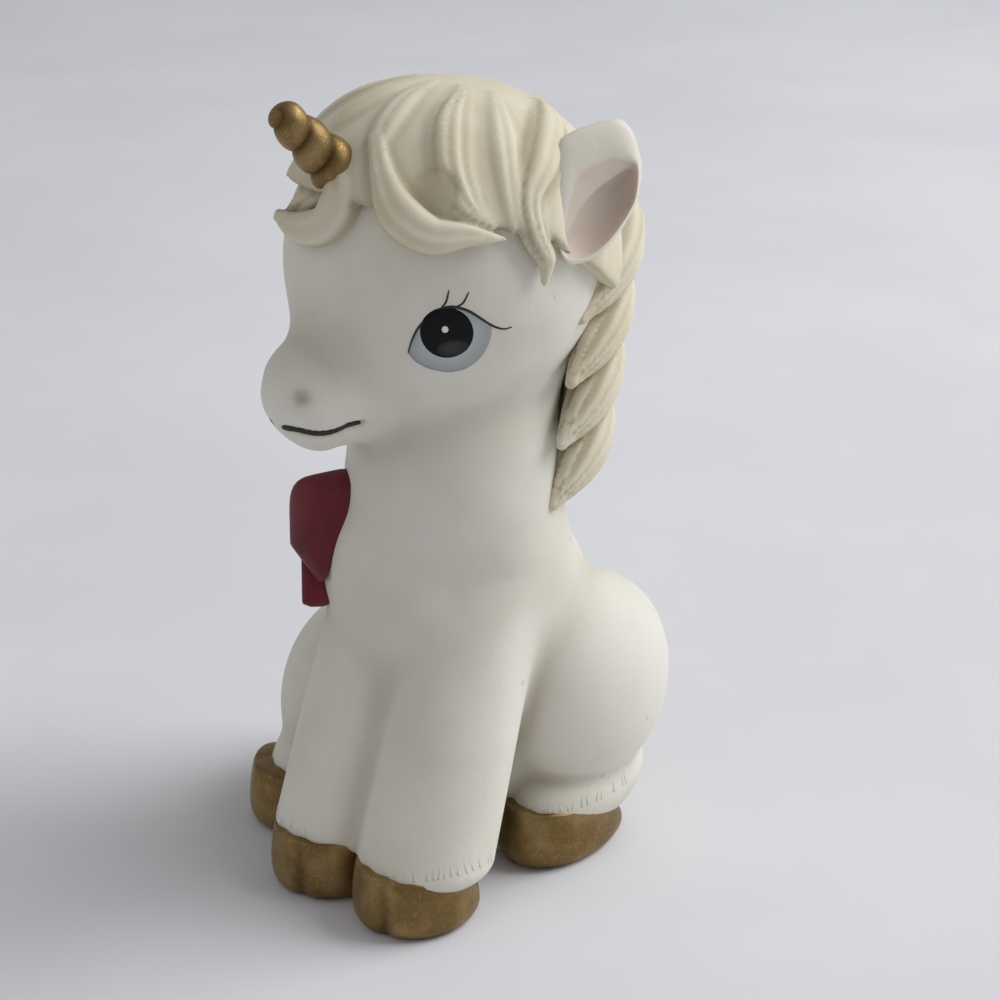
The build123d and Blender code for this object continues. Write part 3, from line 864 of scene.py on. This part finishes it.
def mane_lock(i, steps=80):
    """A lock that slants round the nape, from high behind to low on the left; the head's frame."""
    share, t = i / (MANE_COUNT - 1), np.linspace(0, 1, steps)
    inward = np.clip((t - 0.5) / 0.5, 0, 1)
    inward = inward + np.clip(1 - t / 0.3, 0, 1)
    r = (22.1 * (1 - share) + 18.5 * share - 3.4 * inward**2 * (3 - 2 * inward))[:, None]
    a = MANE_FROM + (MANE_TO - MANE_FROM) * t
    out = np.stack([np.sin(a), -np.cos(a), 0 * a], -1)
    path = out * r + np.stack([0 * t, 1 + 0 * t, MANE_TOP - i * MANE_PITCH - MANE_FALL * t], -1)
    wide, thick = taper(steps, 0.9, 6.0, 0.8, 0.4), taper(steps, 0.8, 4.4, 0.8, 0.4)
    return lock_shape(path, out, wide, thick, 5, 1.2)


MANE = [mane_lock(i) for i in range(MANE_COUNT)]


def mane(p):
    """The four locks, each lying over the next."""
    q = to_head(p)
    f = lock_field(q, MANE[0])
    for lock in MANE[1:]:
        f = round_min(f, lock_field(q, lock), 0.5)
    return np.maximum(f, -plain(p) - 0.8)


MANE_NODES = [f"mane_lock_{i + 1}" for i in range(MANE_COUNT)]
add_field("mane", mane, np.array([-22.0, -20.0, 44.0]), np.array([30.0, 22.0, 98.0]), 0.55, HAIR, "tinted_bisque",
          MANE_NODES, "groove", 2.2)

# %% [markdown]
# ## Horn
#
# The horn is a short rope wound to a blunt tip. Its surface is a cone whose radius swells between the turns of a
# single helix and drops into a groove along it.


# %% Wound horn
def horn_rings(turns=3.1, rows=190, around=72):
    """r(a, t) = taper(t) * (1 - groove(phase)), with phase = turns * t - a / 2 pi, and a round end."""
    root = SKULL_AT + SKULL_R * [0, -np.cos(np.radians(39)), np.sin(np.radians(39))]
    lean = np.radians(45.0)
    axis, x = np.array([0, -np.sin(lean), np.cos(lean)]), np.array([1.0, 0, 0])
    y = np.cross(axis, x)
    t = np.linspace(-0.25, 1, rows)[:, None]
    a = np.linspace(0, TAU, around, endpoint=False)[None]
    phase = (turns * t - a / TAU) % 1
    coil = np.abs(np.sin(np.pi * phase)) ** 0.6
    cap = np.sqrt(np.clip(1 - ((t - 0.86) / 0.14).clip(0, 1) ** 2, 0.002, 1))
    r = (3.5 - 1.4 * t) * (0.74 + 0.26 * coil) * cap
    p = root + (12.7 * t + 0 * a)[..., None] * axis + (r * np.cos(a))[..., None] * x + (r * np.sin(a))[..., None] * y
    # The second array is painted shade, darkest in the groove of the helix.
    return from_head(p.reshape(-1, 3)).reshape(p.shape), (1 - coil) ** 1.3


rings, groove = horn_rings()
add_rings("horn_gilded", rings, GOLD, "gilding", ["horn"], groove=groove)


# %% [markdown]
# ## Ears
#
# An ear is a cupped leaf that leans back from the hair. Two outlines are read off the photograph: the rim, and the
# mouth of the cup inside it. Rings go from behind the leaf round the rim to the mouth and then down into the cup,
# so one stack of rings gives the round back, the broad front flap and the hollow. The hollow has a pinkish wash.


# %% Cupped ears
def ear_rings(rows=64, around=120):
    """Rings between the rim's and the cup's outlines, each at its depth behind the plane of the ear."""
    a = np.linspace(0, TAU, around, endpoint=False)
    rim, cup = outline(EAR_RIM, EAR_HUB, a), outline(EAR_CUP, EAR_HUB, a)
    share = [(0.15, 0, 9.0), (0.6, 0, 8.4), (0.9, 0, 5.6), (1, 0, 2.6), (1, 0, 0.9), (0.9, 0.1, -0.1), (0.5, 0.5, -0.6)]
    share += [(0, 1, 0.0), (0, 0.88, 1.0), (0, 0.6, 1.9), (0, 0.15, 2.3)]
    of_rim, of_cup, depth = smooth(share, rows).T[:, :, None]
    r = of_rim * rim + of_cup * cup
    px = EAR_HUB + r[..., None] * np.stack([np.cos(a), np.sin(a)], -1)
    inner = np.clip((of_cup - 0.35) / 0.5, 0, 1) * np.linspace(0, 1, rows)[:, None]
    inner = np.where(np.linspace(0, 1, rows)[:, None] > 0.62, np.maximum(inner, 0.85), inner * 0.5)
    return ear_point(px, depth + 0 * r), inner + 0 * r


rings, inner = ear_rings()
zero = np.zeros(inner.shape)
add_rings("left_ear_leaf", rings, BISQUE, "bisque", ["left_ear"], crease=zero, blush=inner * 0.5)
rings = mirrored(rings.reshape(-1, 3)).reshape(rings.shape)
add_rings("right_ear_leaf", rings, BISQUE, "bisque", ["right_ear"], crease=zero, blush=inner * 0.5)

# %% [markdown]
# ## Ribbon bow
#
# The bow is modelled on the throat in relief: two puffed loops, a knot and two short tails.


# %% Bow
BOW_TURN = np.radians(58.0)
BOW_AT, BOW_ROLL = np.array([0.0, -7.2, 46.3]), np.radians(12.0)


def bow_point(q):
    """Points of the bow's frame, x to its left and -y outwards, in the part's frame; it hangs a little crooked."""
    c, s = np.cos(BOW_ROLL), np.sin(BOW_ROLL)
    x, y, z = q[..., 0] * c - q[..., 2] * s, q[..., 1], q[..., 0] * s + q[..., 2] * c
    c, s = np.cos(BOW_TURN), np.sin(BOW_TURN)
    return np.stack([x * c + y * s, -x * s + y * c, z], -1) + BOW_AT


def loop_rings(sign, rows=40, around=64):
    """Upright ovals along the loop, tall in the middle and drawn in at the knot and at the end."""
    t = np.linspace(0, 1, rows)[:, None]
    a = np.linspace(0, TAU, around, endpoint=False)[None]
    tall = (6.9 if sign > 0 else 5.0) * (0.5 + 1.58 * t - 1.26 * t**2)
    deep = 4.6 * (0.8 + 0.77 * t - 0.97 * t**2)
    end = np.sqrt(np.clip(1 - ((t - 0.9) / 0.1).clip(0, 1) ** 2, 0.003, 1))
    square = (np.abs(np.cos(a)) ** 5 + np.abs(np.sin(a)) ** 5) ** (-1 / 5)
    u = np.cos(a) * square
    front, back = 0.32 * np.clip((-u - 0.3) / 0.7, 0, 1), 1 - 0.64 * np.clip((0.4 - u) / 1.4, 0, 1)
    y = deep * end * (2 * front - 1 + (back - front) * (1 + np.sin(a) * square))
    z = tall * end * u - 1.0 * t**2 + 0.2 * y
    x = sign * 6.8 * t + 0 * a
    # The second array is painted shade on the front of the loop, next to the knot.
    return bow_point(np.stack([x, y - 17.3 + 1.6 * t**2, z], -1)), (1 - t) * np.exp(-(((a - 1.5 * np.pi) / 0.4) ** 2))


for side, s in (("left", 1), ("right", -1)):
    rings, groove = loop_rings(s)
    add_rings(f"bow_{side}_puff", rings, RED, "red_enamel", [f"bow_{side}_loop"], groove=groove)


def ball_rings(at, radii, rows=28, around=40):
    """An ellipsoid as rings of latitude."""
    e = np.linspace(-np.pi / 2 + 0.05, np.pi / 2 - 0.05, rows)[:, None]
    a = np.linspace(0, TAU, around, endpoint=False)[None]
    d = np.stack([np.cos(e) * np.cos(a), np.cos(e) * np.sin(a), np.sin(e) + 0 * a], -1)
    return np.asarray(at) + d * np.asarray(radii)


rings = bow_point(ball_rings((0, -16.6, -0.6), (2.3, 4.2, 2.8)))
add_rings("bow_knot_puff", rings, RED, "red_enamel", ["bow_knot"], groove=np.zeros(rings.shape[:2]))


def ribbon_rings(sign, rows=30, around=48):
    """Rounded bars that widen downwards from the knot, splayed to one side."""
    t = np.linspace(0, 1, rows)[:, None]
    a = np.linspace(0, TAU, around, endpoint=False)[None]
    box = (np.abs(np.cos(a)) ** 6 + np.abs(np.sin(a)) ** 6) ** (-1 / 6)
    end = np.sqrt(np.clip(1 - ((t - 0.95) / 0.05).clip(0, 1) ** 2, 0.2, 1))
    x = (1.0 + 0.8 * t) * box * np.cos(a) * end
    y = 1.9 * box * np.sin(a) * end
    c, s = np.cos(np.radians(12)), np.sin(np.radians(12)) * sign
    z = -11.6 * t + 0 * a
    return bow_point(np.stack([x * c - z * s, y - 18.2, z * c + x * s], -1))


for side, s in (("left", 1), ("right", -1)):
    rings = ribbon_rings(s)
    node = ["bow_tails"] if s > 0 else ()
    add_rings(f"bow_{side}_tail", rings, RED, "red_enamel", node, groove=np.zeros(rings.shape[:2]))

# %% [markdown]
# ## Painted eyes, lashes and mouth
#
# The eyes and the mouth are brushed on in thin enamel, and the white dot and the grey oval low in each pupil are a
# painted highlight and a painted reflection made the same way. A patch is a disc of polar rings in the photograph's
# frame that is met with the body, domed a few hundredths of a millimetre and closed underneath. A line is a thin
# ridged tube along a smooth path on the surface.


# %% Patches and lines of enamel
def patch_rings(outline, height, rows=14, sink=0.25):
    """Polar rings from the middle of an outline of pixels to its edge, raised like a drop and closed below."""
    outline = np.asarray(outline, float)
    middle = outline.mean(0)
    share = np.linspace(0.04, 1, rows)
    flat = middle + share[:, None, None] * (outline - middle)[None]
    p, n = settle(bisque, meet(flat.reshape(-1, 2)), 2)
    p, n = p.reshape(*flat.shape[:2], 3), n.reshape(*flat.shape[:2], 3)
    dome = height * np.sqrt(np.clip(1 - share**4, 0, 1))[:, None, None] + 0.02
    top, under = p + dome * n, p - sink * n
    edge = np.concatenate([share, share[::-1]])[:, None] * np.ones(len(outline))[None]
    return np.concatenate([top, under[::-1]]), edge


def oval(middle, rx, ry, tilt=0.0, count=72):
    """An ellipse of pixels."""
    a = np.linspace(0, TAU, count, endpoint=False)
    x, y = rx * np.cos(a), ry * np.sin(a)
    c, s = np.cos(tilt), np.sin(tilt)
    return np.stack([middle[0] + x * c - y * s, middle[1] + x * s + y * c], -1)


def add_both(name, rings, material, **attributes):
    """An enamel piece on the left of the face and its mirror image on the right."""
    add_rings(f"left_{name}", rings, material, "bisque", **attributes)
    other = mirrored(rings.reshape(-1, 3)).reshape(rings.shape)
    add_rings(f"right_{name}", other, material, "bisque", **attributes)


def line_rings(pixels, width, height=0.07, steps=60, ends=0.35):
    """A fine line along pixels of the photograph."""
    p, n = settle(bisque, meet(smooth(pixels, steps)), 2)
    t = np.linspace(0, 1, steps)
    w = width * (ends + (1 - ends) * np.sin(np.pi * t) ** 0.6)
    rings, _ = lock_rings(p, n, w, np.full(steps, height), strands=1, depth=0.0, around=12)
    return rings, np.zeros(rings.shape[:2])


LASH = [(408, 353), (412, 340), (419, 327), (431, 315), (441, 309), (453, 307), (466, 310), (477, 316), (491, 325)]
LASH += [(503, 329), (512, 327)]
LOWER = [(408, 353), (416, 362), (430, 369), (448, 372), (465, 369), (480, 358), (489, 343), (491, 325)]
eye_white = smooth(LASH[:9] + LOWER[::-1][1:-1] + [LASH[0]], 96)[:-1]
rings, edge = patch_rings(eye_white, 0.05)
add_both("eye_white", rings, EYE_WHITE, edge=edge**3)
rings, edge = patch_rings(oval((447, 333), 28, 26), 0.12)
add_both("eye_pupil", rings, EYE_BLACK, edge=edge)
# Painted reflection: a grey oval low in the pupil.
rings, edge = patch_rings(oval((452, 347), 18, 9, -0.15), 0.15)
add_both("eye_glint_low", rings, EYE_PAINTED_REFLECTION, edge=edge**2)
# Painted highlight: a white dot on the pupil.
rings, edge = patch_rings(oval((445, 329), 3.8, 3.8), 0.20)
add_both("eye_shine", rings, EYE_SHINE, edge=edge**2)
rings, edge = line_rings(LASH, 0.19)
add_both("eye_lash_line", rings, LINE_BLACK, edge=edge)
rings, edge = line_rings([(441, 308), (446, 302), (449, 290)], 0.13)
add_both("eye_lash_a", rings, LINE_BLACK, edge=edge)
rings, edge = line_rings([(456, 307), (463, 303), (469, 292)], 0.13)
add_both("eye_lash_b", rings, LINE_BLACK, edge=edge)
lips = np.concatenate([mouth[39:0:-6], mouth[41::6]])
lips, n = settle(plain, smooth(lips, 120), 3)
lips = lips - 0.30 * n
width = 0.55 * (0.45 + 0.55 * np.sin(np.pi * np.linspace(0, 1, 120)) ** 0.4)
rings, _ = lock_rings(lips, n, width, np.full(120, 0.26), strands=1, depth=0.0, around=12)
add_rings("mouth_line", rings, LINE_BLACK, "bisque", edge=np.zeros(rings.shape[:2]))

# %% [markdown]
# ## Tail
#
# The tail is out of sight in the photograph. Figures like this have a short one laid against the rump.

# %% Tail lock
t = np.linspace(0, 1, 48)[:, None]
path = np.concatenate([12 * t**2, 15.9 - 2 * t**2 - 3.5 * (1 - t) ** 4, 26 * (1 - t) + 4], 1)
normals = np.tile([0.0, 1.0, 0.0], (48, 1))
size = taper(48, 0.8, 5.0, 1.25, 0.4)
rings, groove = lock_rings(path, normals, size, size, strands=5, depth=0.06, twist=0.8)
rings[..., 2] = np.maximum(rings[..., 2], 0)
add_rings("tail_lock", rings, HAIR, "tinted_bisque", ["tail"], groove=groove)

# %% [markdown]
# ## Floor and light
#
# The floor is a pale grey sheet. A large soft lamp stands behind and to the right, as the window does in the
# photograph, and the sky fills the rest.

# %% Floor
floor_mesh = bpy.data.meshes.new("floor")
reach = 1.5
floor_mesh.from_pydata([(-reach, -reach, 0), (reach, -reach, 0), (reach, reach, 0), (-reach, reach, 0)], [], [(0, 1, 2, 3)])
floor = bpy.data.objects.new("floor", floor_mesh)
bpy.context.scene.collection.objects.link(floor)
paper = Paint("pale_paper", roughness=0.8, specular_ior_level=0.2)
paper.colour(paper.mix(paper.band(paper.noise(9, 4), 0.35, 0.65), rgb(228, 228, 231), rgb(222, 222, 226)))
floor_mesh.materials.append(paper.material)

# %% Lamps and sky
def lamp(name, place, aim, size, power, colour):
    """A square soft lamp that looks at a point; metres and watts."""
    data = bpy.data.lights.new(name, "AREA")
    data.size, data.energy, data.color = size, power, colour
    made = bpy.data.objects.new(name, data)
    bpy.context.scene.collection.objects.link(made)
    made.matrix_world = Matrix.Translation(place) @ (Vector(place) - Vector(aim)).to_track_quat("Z", "Y").to_matrix().to_4x4()
    return made


lamp("window", (0.65, 0.55, 0.80), (0, 0, 0.05), 0.9, 12.0, (0.98, 0.99, 1.0))
lamp("room", (-0.6, -0.7, 0.7), (0, 0, 0.05), 1.2, 1.4, (1.0, 0.97, 0.92))
world = bpy.data.worlds.new("sky")
world.use_nodes = True
world.node_tree.nodes["Background"].inputs[0].default_value = (0.88, 0.89, 0.92, 1)
world.node_tree.nodes["Background"].inputs[1].default_value = 0.35
bpy.context.scene.world = world
bpy.context.scene.view_settings.view_transform = "Standard"
